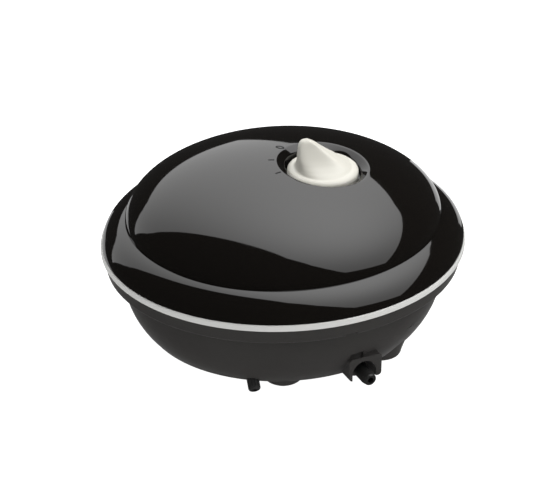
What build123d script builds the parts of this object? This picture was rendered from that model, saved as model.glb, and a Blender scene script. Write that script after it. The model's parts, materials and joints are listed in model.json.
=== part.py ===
from build123d import *

import math
import os

# An oval electromagnetic diaphragm air pump for an aquarium, in millimetres.
# +Z is up, +X is the long axis, and the air outlet leaves the front, towards -Y.
# The origin is on the ground, below the middle of the oval.
# Radii of the oval shells are their half lengths along X; ASPECT squeezes them along Y.

# ---------------------------------------------------------------- driving dimensions
LENGTH = 130.0
WIDTH = 120.0
HALF = LENGTH / 2
ASPECT = WIDTH / LENGTH
WALL = 2.0

# the shells' heights
POD_BOTTOM = 1.0
BOWL_BOTTOM = 3.2
EDGE_Z = 4.9
BULGE_Z = 13.0
LEDGE_Z = 27.5
RIM_Z = 33.0
RING_TOP = 35.4
CREASE_Z = 44.3
APEX_Z = 65.6

# the shells' radii at those heights
BOWL_FLAT_R = 46.4
BOWL_EDGE_R = 49.7
BULGE_R = 55.0
BOWL_TOP_R = 57.4
LEDGE_R = 63.2
LEDGE_SOFT = 0.7
RIM_R = 64.0
COVER_R = 64.5
CREASE_R = 56.3
BRIM_SWEEP = 65.0  # degrees of the brim's ellipse from the trim ring to the crease

# how the two shells and the trim ring meet
TONGUE_IN, TONGUE_OUT, TONGUE_BOTTOM = 58.8, 60.4, 31.0
FLANGE_OUT, FLANGE_TOP = 62.7, 37.0
WEB_IN, BAND_IN, WEB_TOP = 61.0, 62.9, 34.2

# a pry slit in the ledge, at the front
SLIT_X, SLIT_HIGH, SLIT_DEEP = (-5.1, -0.9), 0.8, 1.6

# screw pods, which also carry the feet
POD_XS = (-17.0, 21.5)
POD_Y = 34.5
POD_FLAT_R, POD_R, POD_CORNER_Z = 5.4, 7.0, 2.8
POD_FLARE_R, POD_FLARE_Z = 12.4, 16.0
POST_R, POST_TOP = 5.2, 12.0
SCREW_R, SCREW_HEAD_R, SCREW_SEAT, SMALL_SCREW_R = 1.5, 2.9, 8.0, 1.2
RECESS_R, FOOT_PAD_R, FOOT_PLUG_TOP = 3.3, 4.6, 4.6
BOSS_R = 4.2
SCREW_TIP = 24.0

# regulator knob and its well in the cover
KNOB_X, KNOB_Y = 12.2, -5.5
WELL_R, WELL_LIP, WELL_FLOOR = 13.3, 2.7, 58.6
KNOB_R, KNOB_TOP, KNOB_UNDER, SKIRT_BOTTOM = 12.5, 63.1, 60.6, 59.3
KNOB_EDGE, SKIRT_WALL = 1.1, 1.6
FIN_TOP = 74.4
POINTER = 163.5  # degrees from +X to the fin's high end, as the knob stands
SPINDLE_R, SPINDLE_TOP, SPINDLE_FLAT = 3.0, 65.0, 2.0
RUNNING_FIT = 0.04

# the printed scale round the well
MARK_R, MARK_LENGTH, MARK_WIDTH, MARK_DEPTH = 17.9, 2.2, 0.65, 0.25
ZERO_AT, TICKS_AT = 120.0, (153.8, 183.6)
MARK_ZERO = ((1.6, 1.0), (1.1, 0.5))  # half lengths and half widths of its two ovals

# air outlet, its guard and the hose
OUTLET_X, OUTLET_Z, OUTLET_TIP = 6.1, 5.6, -55.8
ELBOW_Y = -40.5
SEAL_Y = -42.2
NOZZLE_R, NOZZLE_TIP_R, NOZZLE_TAPER, BORE_R = 2.6, 2.2, 2.2, 1.15
COLLAR_R, SHOULDER_Y = 2.9, -45.4
HOOD_FRONT, HOOD_BACK = -52.4, -44.0
HOOD_LEFT, HOOD_RIGHT, HOOD_TOP, HOOD_FOOT = -0.4, 12.0, 13.2, 4.6
HOOD_CORNER = 1.2
ARCH_X, ARCH_Z, ARCH_R = 5.35, 7.05, 4.55
HOOD_SLOT = ((0.4, 5.6), (-51.9, -50.0), (ARCH_Z, 15.0))
CUP_WALL, CUP_BACK = 1.6, -43.8
SPIGOT_R, HOSE_R = 2.0, 3.0
HOSE_START, SPIGOT_TOP = 9.4, 16.0
HOSE_BEND, HOSE_Z = 10.0, 34.0

# mains lead's gland
GLAND_TIP = (-30.1, -39.2, 1.9)
GLAND_YAW, GLAND_DROP = 13.0, 37.0
GLAND_R, GLAND_BORE, GLAND_REACH, GLAND_END = 2.15, 1.1, 11.0, 0.95

# the chassis on its rubber mounts
CHASSIS_Z, CHASSIS_TOP, CHASSIS_R = 12.0, 14.0, 50.0
CHASSIS_X, CHASSIS_Y = (-48.0, 46.0), (-24.0, 28.0)
MOUNT_SPOTS = ((-34.0, -12.0), (-34.0, 24.0), (32.0, -12.0), (32.0, 24.0))
MOUNT_POST_R, MOUNT_POST_TOP = 4.2, 9.5
MOUNT_PLUG_R, MOUNT_PLUG_END, MOUNT_NECK_R, MOUNT_PAD_R, MOUNT_HEAD_R = 1.5, 6.0, 2.2, 3.5, 3.2

# swinging arm
MID = 28.0  # height of the arm, the core and the diaphragm
PIVOT_X, ARM_Y = -38.0, 8.0
PIN_R, BUSH_R, HUB_R = 1.5, 2.4, 3.6
ARM_HALF_T, ARM_HALF_H = 2.5, 5.0
HOLDER_X, HOLDER_FACE = 13.2, 17.6
MAGNET_FACE, MAGNET_BACK, KEEPER_BACK = 18.2, 14.8, 13.9
MAGNET_W, MAGNET_H = 8.0, 10.0

# electromagnet
POLE_X, SPINE_X, CORE_END = 19.0, 39.0, 44.0
CENTRE_LEG, WINDOW, SIDE_LEG = 8.0, 8.0, 5.0
LAMINATIONS, LAMINATION = 8, 1.5
CORE_REST_X = (24.0, 28.0)
BOBBIN_X = (20.5, 38.5)
BOBBIN_Y, BOBBIN_Z, FLANGE_T = 11.0, 12.0, 1.0

# pump head, diaphragm and valves
PUMP_X = -2.2
HEAD_HALF_W, HEAD_HALF_H = 14.5, 14.0
HEAD_FACE, VALVE_WALL, HEAD_BACK = -3.0, -9.0, -13.0
GASKET_T, COVER_BACK, COVER_WALL = 0.6, -22.0, 1.6
CHAMBER_R, DIAPHRAGM_R, DIAPHRAGM_T = 10.0, 13.0, 2.0
CLAMP_FACE = 1.0
PORT_OFFSET, PORT_R, PORT_Z = 5.5, 1.9, 26.5
BEAD_R, BEAD_Z, BEAD_IN = 0.8, 30.7, 0.3
FLAP_HALF_W, FLAP_LENGTH, FLAP_T, FLAP_GAP = 3.0, 7.4, 0.8, 0.05
BOLT_OFFSET = (12.0, 11.0)
HEAD_SCREW_TIP, AIR_INLET_R, AIR_INLET_Y = 21.5, 2.5, -17.5
WASHER_R, WASHER_T, RIPPLE_AT = 6.4, 1.0, 8.3

# air filter in the floor
FILTER_X, FILTER_Y, FILTER_R = -20.0, 10.0, 12.6
FILTER_CEILING, FILTER_COVER_TOP = 8.4, 4.8
AIR_HOLE_R, AIR_HOLE_AT, AIR_HOLES, FILTER_OPENING_R = 1.5, 7.0, 6, 9.0
GRILLE_R, GRILLE_SLOT, GRILLE_YS = 10.0, 1.6, (-6.4, -3.2, 3.2, 6.4)
COIN_SLOT, COIN_SLOT_DEEP = (14.0, 1.8), 0.8

# circuit board under the cover
BOARD_X, BOARD_Y = (-6.0, 38.0), (-22.0, 12.0)
BOARD_Z, BOARD_TOP = 46.0, 47.6
BOARD_SPOTS = ((-3.0, -19.0), (35.0, -19.0), (-3.0, 9.0), (35.0, 9.0))
BOARD_BOSS_R = 2.8
POT_HALF, POT_TOP, BUSHING_R = 8.0, 55.0, 4.0

os.makedirs("parts", exist_ok=True)


# ---------------------------------------------------------------- helpers
def save(name, shape):
    """Write one node's solids to parts/NAME.step."""
    export_step(shape, f"parts/{name}.step")


def rod(radius, bottom, top, x=0.0, y=0.0):
    """An upright cylinder between two heights."""
    return Pos(x, y, (bottom + top) / 2) * Cylinder(radius, top - bottom)


def rod_y(radius, front, back, x, z):
    """A cylinder along Y between two depths."""
    return Pos(x, (front + back) / 2, z) * Rot(90, 0, 0) * Cylinder(radius, back - front)


def rod_x(radius, left, right, y, z):
    """A cylinder along X between two places."""
    return Pos((left + right) / 2, y, z) * Rot(0, 90, 0) * Cylinder(radius, right - left)


def block(xs, ys, zs):
    """A box between three pairs of limits."""
    middle = [sum(pair) / 2 for pair in (xs, ys, zs)]
    size = [pair[1] - pair[0] for pair in (xs, ys, zs)]
    return Pos(*middle) * Box(*size)


def ring(inner, outer, bottom, top, x=0.0, y=0.0):
    return rod(outer, bottom, top, x, y) - rod(inner, bottom, top, x, y)


def outline(*pieces):
    """A flat face inside the closed path that the pieces make."""
    return make_face(Wire([edge for piece in pieces for edge in piece.edges()]))


def spun(*pieces):
    """A solid turned about Z from a closed outline of radius and height."""
    return revolve(Plane.XZ * outline(*pieces), Axis.Z)


def spun_points(*points):
    return revolve(Plane.XZ * make_face(Polyline(*points, close=True)), Axis.Z)


def oval(shape):
    """A turned shape squeezed along Y to the pump's plan."""
    return scale(shape, by=(1, ASPECT, 1))


def group(place, spots):
    """The same piece at each spot, as a group of solids."""
    return Compound(children=[place(x, y) for x, y in spots])


def pod_spots():
    return [(x, y) for x in POD_XS for y in (-POD_Y, POD_Y)]


def screw_up(x, y, head_z, tip_z, radius=SCREW_R, head_r=SCREW_HEAD_R, head_t=2.2):
    """A cross-headed screw that points up, with its head below."""
    body = rod(radius, head_z, tip_z, x, y) + rod(head_r, head_z - head_t, head_z, x, y)
    for turn in (0, 90):
        slot = Rot(0, 0, turn) * Box(head_r * 1.2, 0.7, 2.0)
        body -= Pos(x, y, head_z - head_t) * slot
    return body


def screw_down(x, y, head_z, tip_z, radius=SCREW_R, head_r=SCREW_HEAD_R, head_t=2.2):
    """The same screw pointing down, its head above."""
    return Pos(0, 0, head_z) * Rot(180, 0, 0) * screw_up(x, -y, 0, head_z - tip_z, radius, head_r, head_t)


# ---------------------------------------------------------------- casing
def housing_solid(inset):
    """The lower housing's outside, or its inside when drawn in by a wall."""
    slope = (RIM_R - LEDGE_R) / (RIM_Z - LEDGE_Z)
    floor, shelf = BOWL_BOTTOM + inset, LEDGE_Z + inset
    flat = (BOWL_FLAT_R - inset, floor)
    corner = ((BOWL_FLAT_R + BOWL_EDGE_R) / 2 + 0.3 - inset, floor + (EDGE_Z - BOWL_BOTTOM) / 4)
    edge = (BOWL_EDGE_R - inset, EDGE_Z + inset / 2)
    bulge = (BULGE_R - inset, BULGE_Z + inset / 2)
    top, ledge = (BOWL_TOP_R - inset, shelf), (LEDGE_R - inset, shelf)
    rim = (RIM_R - inset + slope * inset, RIM_Z + inset)
    section = outline(
        Line((0, floor), flat),
        ThreePointArc(flat, corner, edge),
        ThreePointArc(edge, bulge, top),
        Polyline(top, ledge, rim, (0, rim[1]), (0, floor)),
    )
    shelf_ends = [point for point in section.vertices() if abs(point.Y - shelf) < 0.01]
    return oval(revolve(Plane.XZ * fillet(shelf_ends, LEDGE_SOFT), Axis.Z))


def pod(x, y):
    """A rounded post that bulges from the wall and flares up into it."""
    corner = (POD_R - 0.5, POD_BOTTOM + 0.6)
    flare = ((POD_R + POD_FLARE_R) / 2 - 0.4, (POD_CORNER_Z + POD_FLARE_Z) / 2)
    flat, side, top = (POD_FLAT_R, POD_BOTTOM), (POD_R, POD_CORNER_Z), (POD_FLARE_R, POD_FLARE_Z)
    shape = spun(
        Line((0, POD_BOTTOM), flat),
        ThreePointArc(flat, corner, side),
        ThreePointArc(side, flare, top),
        Polyline(top, (0, POD_FLARE_Z), (0, POD_BOTTOM)),
    )
    return Pos(x, y, 0) * shape


def gland_frame():
    """The gland's axes: its local +Z points out along the lead."""
    return Pos(*GLAND_TIP) * Rot(0, 0, -GLAND_YAW) * Rot(90 + GLAND_DROP, 0, 0)


def hood_arch():
    """The guard's outline from the front, open below round the nozzle."""
    width, height = HOOD_RIGHT - HOOD_LEFT, HOOD_TOP - HOOD_FOOT
    middle = ((HOOD_LEFT + HOOD_RIGHT) / 2, (HOOD_TOP + HOOD_FOOT) / 2)
    return Pos(*middle) * RectangleRounded(width, height, HOOD_CORNER) - arch_opening()


def arch_opening():
    return Pos(ARCH_X, ARCH_Z) * (Circle(ARCH_R) + Pos(0, -ARCH_Z / 2) * Rectangle(2 * ARCH_R, ARCH_Z))


def hood():
    return Pos(0, HOOD_BACK, 0) * extrude(Plane.XZ * hood_arch(), HOOD_BACK - HOOD_FRONT)


def nozzle_cup():
    """Material behind the guard's arch, which keeps the housing closed round the nozzle."""
    cup = rod_y(ARCH_R + CUP_WALL, HOOD_FRONT, CUP_BACK, ARCH_X, ARCH_Z)
    return cup & housing_solid(WALL / 4)


def nozzle_recess():
    """The room inside the arch for the end of the hose, back to the nozzle's shoulder."""
    opening = extrude(Plane.XZ * arch_opening(), SHOULDER_Y - HOOD_FRONT + 1)
    return Pos(0, SHOULDER_Y, 0) * opening


def nozzle_seat():
    """Half-round cover of the nozzle's elbow below the floor."""
    radius = COLLAR_R + 1.1
    run = rod_y(radius, SHOULDER_Y, ELBOW_Y, OUTLET_X, OUTLET_Z)
    return run + Pos(OUTLET_X, ELBOW_Y, OUTLET_Z) * Sphere(radius)


def nozzle_path_cut():
    """What the nozzle's collar and elbow fill, open above so that the nozzle drops in."""
    run = rod_y(COLLAR_R, SHOULDER_Y - 1, ELBOW_Y, OUTLET_X, OUTLET_Z)
    run += Pos(OUTLET_X, ELBOW_Y, OUTLET_Z) * Sphere(COLLAR_R)
    sides = (OUTLET_X - COLLAR_R, OUTLET_X + COLLAR_R)
    well = block(sides, (CUP_BACK, ELBOW_Y), (OUTLET_Z, POST_TOP))
    return run + well + rod(COLLAR_R, OUTLET_Z, POST_TOP, OUTLET_X, ELBOW_Y)


def lower_housing():
    outside = housing_solid(0)
    inside = housing_solid(WALL)
    shell = outside - inside
    for x, y in pod_spots():
        shell += pod(x, y) - inside
        shell += rod(POST_R, BOWL_BOTTOM + WALL / 2, POST_TOP, x, y)
    for x, y in MOUNT_SPOTS:
        shell += rod(MOUNT_POST_R, BOWL_BOTTOM + WALL / 2, MOUNT_POST_TOP, x, y)
        shell -= rod(MOUNT_PLUG_R, MOUNT_PLUG_END, MOUNT_POST_TOP, x, y)
    shell += rod(FILTER_R + WALL, BOWL_BOTTOM + 0.5, FILTER_CEILING + 1.5, FILTER_X, FILTER_Y)
    shell -= rod(FILTER_R, BOWL_BOTTOM - 1, FILTER_CEILING, FILTER_X, FILTER_Y)
    for turn in range(AIR_HOLES):
        hole = rod(AIR_HOLE_R, FILTER_CEILING - 1, FILTER_CEILING + WALL + 1, AIR_HOLE_AT, 0)
        shell -= Pos(FILTER_X, FILTER_Y, 0) * Rot(0, 0, 360 / AIR_HOLES * turn) * hole
    shell += hood() - inside
    shell += nozzle_cup() + nozzle_seat()
    shell -= nozzle_recess() + block(*HOOD_SLOT)
    shell -= nozzle_path_cut()
    gland_boss = gland_frame() * rod(GLAND_R + 2.4, -GLAND_REACH + 2, -2)
    shell += gland_boss & housing_solid(0.3)
    shell -= gland_frame() * rod(GLAND_R, -GLAND_REACH - 3, 2)
    shell -= gland_frame() * rod(GLAND_R + 3.5, -GLAND_REACH - 6, -GLAND_REACH + 2)
    for x, y in pod_spots():
        shell -= rod(RECESS_R, POD_BOTTOM - 1, SCREW_SEAT, x, y)
        shell -= rod(SCREW_R, SCREW_SEAT - 1, POST_TOP + 1, x, y)
    front = -LEDGE_R * ASPECT
    return shell - block(SLIT_X, (front - 1, front + SLIT_DEEP), (LEDGE_Z - 1, LEDGE_Z + SLIT_HIGH))


def cover_solid(inset):
    """The cover's outside, or its inside when drawn in by a wall."""
    turn = math.radians(BRIM_SWEEP)
    brim_x = (COVER_R - CREASE_R) / (1 - math.cos(turn))
    brim_z = (CREASE_Z - RING_TOP) / math.sin(turn)
    brim = EllipticalCenterArc(
        (COVER_R - brim_x, RING_TOP), brim_x - inset, brim_z - inset, start_angle=0, arc_size=BRIM_SWEEP
    )
    dome = EllipticalCenterArc(
        (0, CREASE_Z), CREASE_R - inset, APEX_Z - CREASE_Z - inset, start_angle=0, arc_size=90
    )
    edges = [brim, dome, Polyline(dome @ 1, (0, RING_TOP), brim @ 0)]
    if inset > 0:
        edges.append(Line(brim @ 1, dome @ 0))
    return oval(spun(*edges))


def mark_tool(angle, shape):
    """A mark's upright cutter at one bearing of the scale."""
    place = Pos(KNOB_X, KNOB_Y, 0) * Rot(0, 0, angle) * Pos(MARK_R, 0, 50)
    return place * extrude(shape, 20)


def mark_tools():
    tick = Rectangle(MARK_LENGTH, MARK_WIDTH)
    zero = Ellipse(*MARK_ZERO[0]) - Ellipse(*MARK_ZERO[1])
    return [mark_tool(ZERO_AT, zero)] + [mark_tool(angle, tick) for angle in TICKS_AT]


def scale_marks():
    skin = cover_solid(0) - cover_solid(MARK_DEPTH)
    marks = []
    for tool in mark_tools():
        marks += (skin & tool).solids()
    return Compound(children=marks)


def cover_boss(x, y):
    """A screw post that hangs from the dome down to the housing's post."""
    return rod(BOSS_R, POST_TOP, CREASE_Z, x, y)


def top_cover(marks):
    under_dome = cover_solid(WALL / 2)
    shell = cover_solid(0) - cover_solid(WALL)
    shell += oval(
        spun_points(
            (TONGUE_IN, TONGUE_BOTTOM),
            (TONGUE_OUT, TONGUE_BOTTOM),
            (TONGUE_OUT, RING_TOP),
            (FLANGE_OUT, RING_TOP),
            (FLANGE_OUT, FLANGE_TOP),
            (TONGUE_IN, FLANGE_TOP),
        )
    )
    shell += rod(WELL_R + WALL, WELL_FLOOR - WALL, APEX_Z, KNOB_X, KNOB_Y) & under_dome
    for x, y in pod_spots():
        shell += rod(BOSS_R, RING_TOP, APEX_Z, x, y) & under_dome
        shell += cover_boss(x, y)
        shell -= rod(SCREW_R, POST_TOP - 1, SCREW_TIP + 2, x, y)
    for x, y in BOARD_SPOTS:
        shell += rod(BOARD_BOSS_R, BOARD_TOP, APEX_Z, x, y) & under_dome
        shell -= rod(SMALL_SCREW_R, BOARD_TOP - 1, BOARD_TOP + 6, x, y)
    shell -= rod(WELL_R, WELL_FLOOR, APEX_Z + 5, KNOB_X, KNOB_Y)
    lip = [edge for edge in shell.edges() if is_lip(edge)]
    shell = fillet(lip, WELL_LIP)
    shell -= rod(BUSHING_R, WELL_FLOOR - 5, WELL_FLOOR + 1, KNOB_X, KNOB_Y)
    return shell - marks


def is_lip(edge):
    """Whether an edge is the well's mouth on the dome."""
    box = edge.bounding_box()
    wide = box.size.X > 2 * WELL_R - 0.5
    return wide and box.min.Z > WELL_FLOOR + 1 and box.size.X < 2 * WELL_R + 0.5


def trim_ring():
    section = make_face(
        Polyline(
            (WEB_IN, RIM_Z),
            (HALF, RIM_Z),
            (HALF, RING_TOP),
            (BAND_IN, RING_TOP),
            (BAND_IN, WEB_TOP),
            (WEB_IN, WEB_TOP),
            close=True,
        )
    )
    outer = [corner for corner in section.vertices() if corner.X > HALF - 0.1]
    return oval(revolve(Plane.XZ * fillet(outer, 0.45), Axis.Z))


def housing_gasket():
    return oval(
        spun_points((WEB_IN, WEB_TOP), (FLANGE_OUT - 0.2, WEB_TOP), (FLANGE_OUT - 0.2, RING_TOP), (WEB_IN, RING_TOP))
    )


def rubber_foot(x, y):
    pad = spun_points((0, 0), (FOOT_PAD_R - 0.4, 0), (FOOT_PAD_R, 0.4), (FOOT_PAD_R, POD_BOTTOM), (0, POD_BOTTOM))
    return Pos(x, y, 0) * pad + rod(RECESS_R, POD_BOTTOM, FOOT_PLUG_TOP, x, y)


def housing_screw(x, y):
    return screw_up(x, y, SCREW_SEAT, SCREW_TIP)


# ---------------------------------------------------------------- outlet and gland
def air_nozzle():
    """The hose nozzle, with a collar in the wall and an elbow up to a barb inside the housing."""
    tip_edge = 0.4
    profile = Polyline(
        (0, OUTLET_TIP),
        (NOZZLE_TIP_R - tip_edge, OUTLET_TIP),
        (NOZZLE_TIP_R, OUTLET_TIP + tip_edge),
        (NOZZLE_R, OUTLET_TIP + NOZZLE_TAPER),
        (NOZZLE_R, SHOULDER_Y),
        (COLLAR_R, SHOULDER_Y),
        (COLLAR_R, ELBOW_Y),
        (0, ELBOW_Y),
        close=True,
    )
    body = Pos(OUTLET_X, 0, OUTLET_Z) * revolve(make_face(profile), Axis.Y)
    body += Pos(OUTLET_X, ELBOW_Y, OUTLET_Z) * Sphere(COLLAR_R)
    body += rod(SPIGOT_R, OUTLET_Z, SPIGOT_TOP, OUTLET_X, ELBOW_Y)
    body += rod(COLLAR_R, OUTLET_Z, HOSE_START, OUTLET_X, ELBOW_Y)
    body -= rod_y(BORE_R, OUTLET_TIP - 1, ELBOW_Y, OUTLET_X, OUTLET_Z)
    body -= rod(BORE_R, OUTLET_Z, SPIGOT_TOP + 1, OUTLET_X, ELBOW_Y)
    body -= Pos(OUTLET_X, ELBOW_Y, OUTLET_Z) * Sphere(BORE_R)
    return body - nozzle_o_ring()


def nozzle_o_ring():
    """A rubber ring in the collar's groove, where it passes the housing's wall."""
    return Pos(OUTLET_X, SEAL_Y, OUTLET_Z) * Rot(90, 0, 0) * Torus(COLLAR_R - 0.5, 0.45)


def outlet_hose():
    """The inner hose from the elbow's barb to the valve cover's spigot."""
    bottom = (OUTLET_X, ELBOW_Y, HOSE_START)
    corner = (OUTLET_X, ELBOW_Y, HOSE_Z)
    end = (OUTLET_X, COVER_BACK - 1.0, HOSE_Z)
    path = FilletPolyline(bottom, corner, end, radius=HOSE_BEND)
    section = Plane(origin=bottom, z_dir=(0, 0, 1)) * (Circle(HOSE_R) - Circle(SPIGOT_R))
    return sweep(section, path=path)


def cord_gland():
    """The lead's fluted rubber bushing, flanged inside the wall."""
    body = rod(GLAND_R, -GLAND_REACH, 0)
    body = fillet(body.edges().group_by(Axis.Z)[-1], GLAND_END)
    for flute in range(12):
        groove = Rot(0, 0, 30 * flute) * rod(0.22, -4.2, 1, GLAND_R + 0.05, 0)
        body -= groove
    body += rod(GLAND_R + 1.3, -GLAND_REACH + 0.6, -GLAND_REACH + 2)
    body -= rod(GLAND_BORE, -GLAND_REACH - 1, 1)
    return gland_frame() * body


# ---------------------------------------------------------------- chassis and arm
def through(radius, x, y):
    """The cutter of a hole through the chassis's plate."""
    return rod(radius, CHASSIS_Z - 2, CHASSIS_TOP + 2, x, y)


def chassis():
    plate = block(CHASSIS_X, CHASSIS_Y, (CHASSIS_Z, CHASSIS_TOP))
    plate &= oval(rod(CHASSIS_R, CHASSIS_Z - 1, CHASSIS_TOP + 1))
    plate -= through(FILTER_OPENING_R, FILTER_X, FILTER_Y)
    core_low, core_high = core_limits()
    under_core = MID - LAMINATIONS * LAMINATION / 2
    for y in (core_low, core_high - SIDE_LEG):
        plate += block((SPINE_X, CORE_END), (y, y + SIDE_LEG), (CHASSIS_TOP, under_core))
        plate += block(CORE_REST_X, (y, y + SIDE_LEG), (CHASSIS_TOP, under_core))
    for x, y in MOUNT_SPOTS:
        plate -= through(MOUNT_NECK_R, x, y)
    for x, y in bracket_screw_spots() + head_screw_spots():
        plate -= through(SCREW_R, x, y)
    for x, y in core_screw_spots():
        plate -= rod(SCREW_R, CHASSIS_TOP + 1, MID, x, y)
    return plate


def vibration_mount(x, y):
    """A mushroom grommet between a housing post and the chassis."""
    foot = rod(MOUNT_PLUG_R, MOUNT_PLUG_END, MOUNT_POST_TOP, x, y)
    foot += rod(MOUNT_PAD_R, MOUNT_POST_TOP, CHASSIS_Z, x, y)
    neck = rod(MOUNT_NECK_R, CHASSIS_Z, CHASSIS_TOP, x, y)
    return foot + neck + rod(MOUNT_HEAD_R, CHASSIS_TOP, CHASSIS_TOP + 1.6, x, y)


def bracket_screw_spots():
    return [(-32.5, ARM_Y - 4.5), (-32.5, ARM_Y + 4.5)]


def pivot_bracket():
    """A bent steel U that holds the arm's pin at both ends."""
    plate = block((-46.5, -30), (ARM_Y - 7, ARM_Y + 7), (CHASSIS_TOP, CHASSIS_TOP + 1.5))
    plate += block((-46.5, -45), (ARM_Y - 5, ARM_Y + 5), (CHASSIS_TOP, MID + 8))
    for z in (MID - 8, MID + 6.5):
        plate += block((-46.5, -34), (ARM_Y - 5, ARM_Y + 5), (z, z + 1.5))
    plate -= rod(PIN_R, MID - 10, MID + 10, PIVOT_X, ARM_Y)
    for x, y in bracket_screw_spots():
        plate -= rod(SCREW_R, CHASSIS_TOP - 1, CHASSIS_TOP + 3, x, y)
    return plate


def pivot_pin():
    return rod(PIN_R, MID - 9, MID + 8, PIVOT_X, ARM_Y) + rod(2.4, MID + 8, MID + 9.2, PIVOT_X, ARM_Y)


def bracket_screw(x, y):
    return screw_down(x, y, CHASSIS_TOP + 1.5, 11.0)


def swing_arm():
    """The plastic arm from its hub on the pin to the magnet holder."""
    low, high = MID - ARM_HALF_H, MID + ARM_HALF_H
    web = block((PIVOT_X, HOLDER_X + 1), (ARM_Y - ARM_HALF_T, ARM_Y + ARM_HALF_T), (low, high))
    arm = web + rod(HUB_R, MID - 6.2, MID + 6.2, PIVOT_X, ARM_Y)
    for x in (-28.0, -18.0):
        arm -= block((x - 3.5, x + 3.5), (ARM_Y - 4, ARM_Y + 4), (low + 2, high - 2))
    holder_y = (ARM_Y - MAGNET_W - 1.5, ARM_Y + MAGNET_W + 1.5)
    arm += block((HOLDER_X, HOLDER_FACE), holder_y, (low - 1, high + 1))
    arm -= block((KEEPER_BACK, HOLDER_FACE + 1), magnet_span(), (low, high))
    arm += block((MAGNET_BACK, HOLDER_FACE), (ARM_Y - 0.5, ARM_Y + 0.5), (low, high))
    arm -= rod(BUSH_R, MID - 7, MID + 7, PIVOT_X, ARM_Y)
    arm -= rod_y(1.5, ARM_Y - 4, ARM_Y + 4, PUMP_X, MID)
    return arm


def magnet_span():
    return (ARM_Y - MAGNET_W - 0.5, ARM_Y + MAGNET_W + 0.5)


def arm_bush():
    return ring(PIN_R + RUNNING_FIT, BUSH_R, MID - 6.4, MID + 6.4, PIVOT_X, ARM_Y)


def magnet_keeper():
    return block((KEEPER_BACK, MAGNET_BACK), magnet_span(), (MID - ARM_HALF_H, MID + ARM_HALF_H))


def arm_magnets():
    height = (MID - MAGNET_H / 2, MID + MAGNET_H / 2)
    low, high = magnet_span()
    left = block((MAGNET_BACK, MAGNET_FACE), (low, low + MAGNET_W), height)
    right = block((MAGNET_BACK, MAGNET_FACE), (high - MAGNET_W, high), height)
    return Compound(children=[left, right])


# ---------------------------------------------------------------- electromagnet
def core_limits():
    half = CENTRE_LEG / 2 + WINDOW + SIDE_LEG
    return ARM_Y - half, ARM_Y + half


def core_screw_spots():
    low, high = core_limits()
    x = (SPINE_X + CORE_END) / 2
    return [(x, low + SIDE_LEG / 2), (x, high - SIDE_LEG / 2)]


def core_laminations():
    """A stack of E-shaped steel sheets, legs towards the arm."""
    low, high = core_limits()
    sheets = []
    for count in range(LAMINATIONS):
        bottom = MID + (count - LAMINATIONS / 2) * LAMINATION
        zs = (bottom, bottom + LAMINATION)
        sheet = block((SPINE_X, CORE_END), (low, high), zs)
        for y, width in ((low, SIDE_LEG), (ARM_Y - CENTRE_LEG / 2, CENTRE_LEG), (high - SIDE_LEG, SIDE_LEG)):
            sheet += block((POLE_X, SPINE_X), (y, y + width), zs)
        for x, y in core_screw_spots():
            sheet -= rod(SCREW_R, zs[0] - 1, zs[1] + 1, x, y)
        sheets.append(sheet)
    return Compound(children=sheets)


def core_screw(x, y):
    top = MID + LAMINATIONS * LAMINATION / 2
    return screw_down(x, y, top, 16.0, head_r=2.4)


def sleeve(half_y, half_z, xs):
    return block(xs, (ARM_Y - half_y, ARM_Y + half_y), (MID - half_z, MID + half_z))


def coil_bobbin():
    left, right = BOBBIN_X
    hole_y = CENTRE_LEG / 2
    hole_z = LAMINATIONS * LAMINATION / 2
    spool = sleeve(hole_y + 1, hole_z + 1, BOBBIN_X)
    spool += sleeve(BOBBIN_Y, BOBBIN_Z, (left, left + FLANGE_T))
    spool += sleeve(BOBBIN_Y, BOBBIN_Z, (right - FLANGE_T, right))
    spool -= sleeve(hole_y, hole_z, (left - 1, right + 1))
    return spool


def coil_winding():
    inside = (BOBBIN_X[0] + FLANGE_T, BOBBIN_X[1] - FLANGE_T)
    wound = sleeve(BOBBIN_Y - 0.6, BOBBIN_Z - 0.8, inside)
    wound = fillet(wound.edges().filter_by(Axis.X), 3.0)
    return wound - sleeve(CENTRE_LEG / 2 + 1, LAMINATIONS * LAMINATION / 2 + 1, inside)


def coil_lead(x, y):
    return rod(0.6, MID + BOBBIN_Z, BOARD_Z, x, y)


# ---------------------------------------------------------------- pump head
def head_block(front, back):
    xs = (PUMP_X - HEAD_HALF_W, PUMP_X + HEAD_HALF_W)
    return block(xs, (front, back), (MID - HEAD_HALF_H, MID + HEAD_HALF_H))


def bolt_spots():
    across, up = BOLT_OFFSET
    return [(PUMP_X + side * across, MID + level * up) for side in (-1, 1) for level in (-1, 1)]


def head_screw_spots():
    return [(PUMP_X - 9.0, -11.0), (PUMP_X + 9.0, -11.0)]


def bolted(shape):
    """Clearance holes for the four head bolts."""
    for x, z in bolt_spots():
        shape -= rod_y(SCREW_R, COVER_BACK - 5, CLAMP_FACE + 5, x, z)
    return shape


def pump_head():
    head = head_block(HEAD_BACK, HEAD_FACE)
    head -= rod_y(CHAMBER_R, VALVE_WALL, HEAD_FACE + 1, PUMP_X, MID)
    for side, axis_y in ((-1, VALVE_WALL - BEAD_IN), (1, HEAD_BACK + BEAD_IN)):
        x = PUMP_X + side * PORT_OFFSET
        head -= rod_y(PORT_R, HEAD_BACK - 1, VALVE_WALL + 1, x, PORT_Z)
        head -= rod_x(BEAD_R + 0.05, x - FLAP_HALF_W - 0.1, x + FLAP_HALF_W + 0.1, axis_y, BEAD_Z)
    for x, y in head_screw_spots():
        head -= rod(SMALL_SCREW_R, CHASSIS_TOP - 1, HEAD_SCREW_TIP, x, y)
    return bolted(head)


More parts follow.
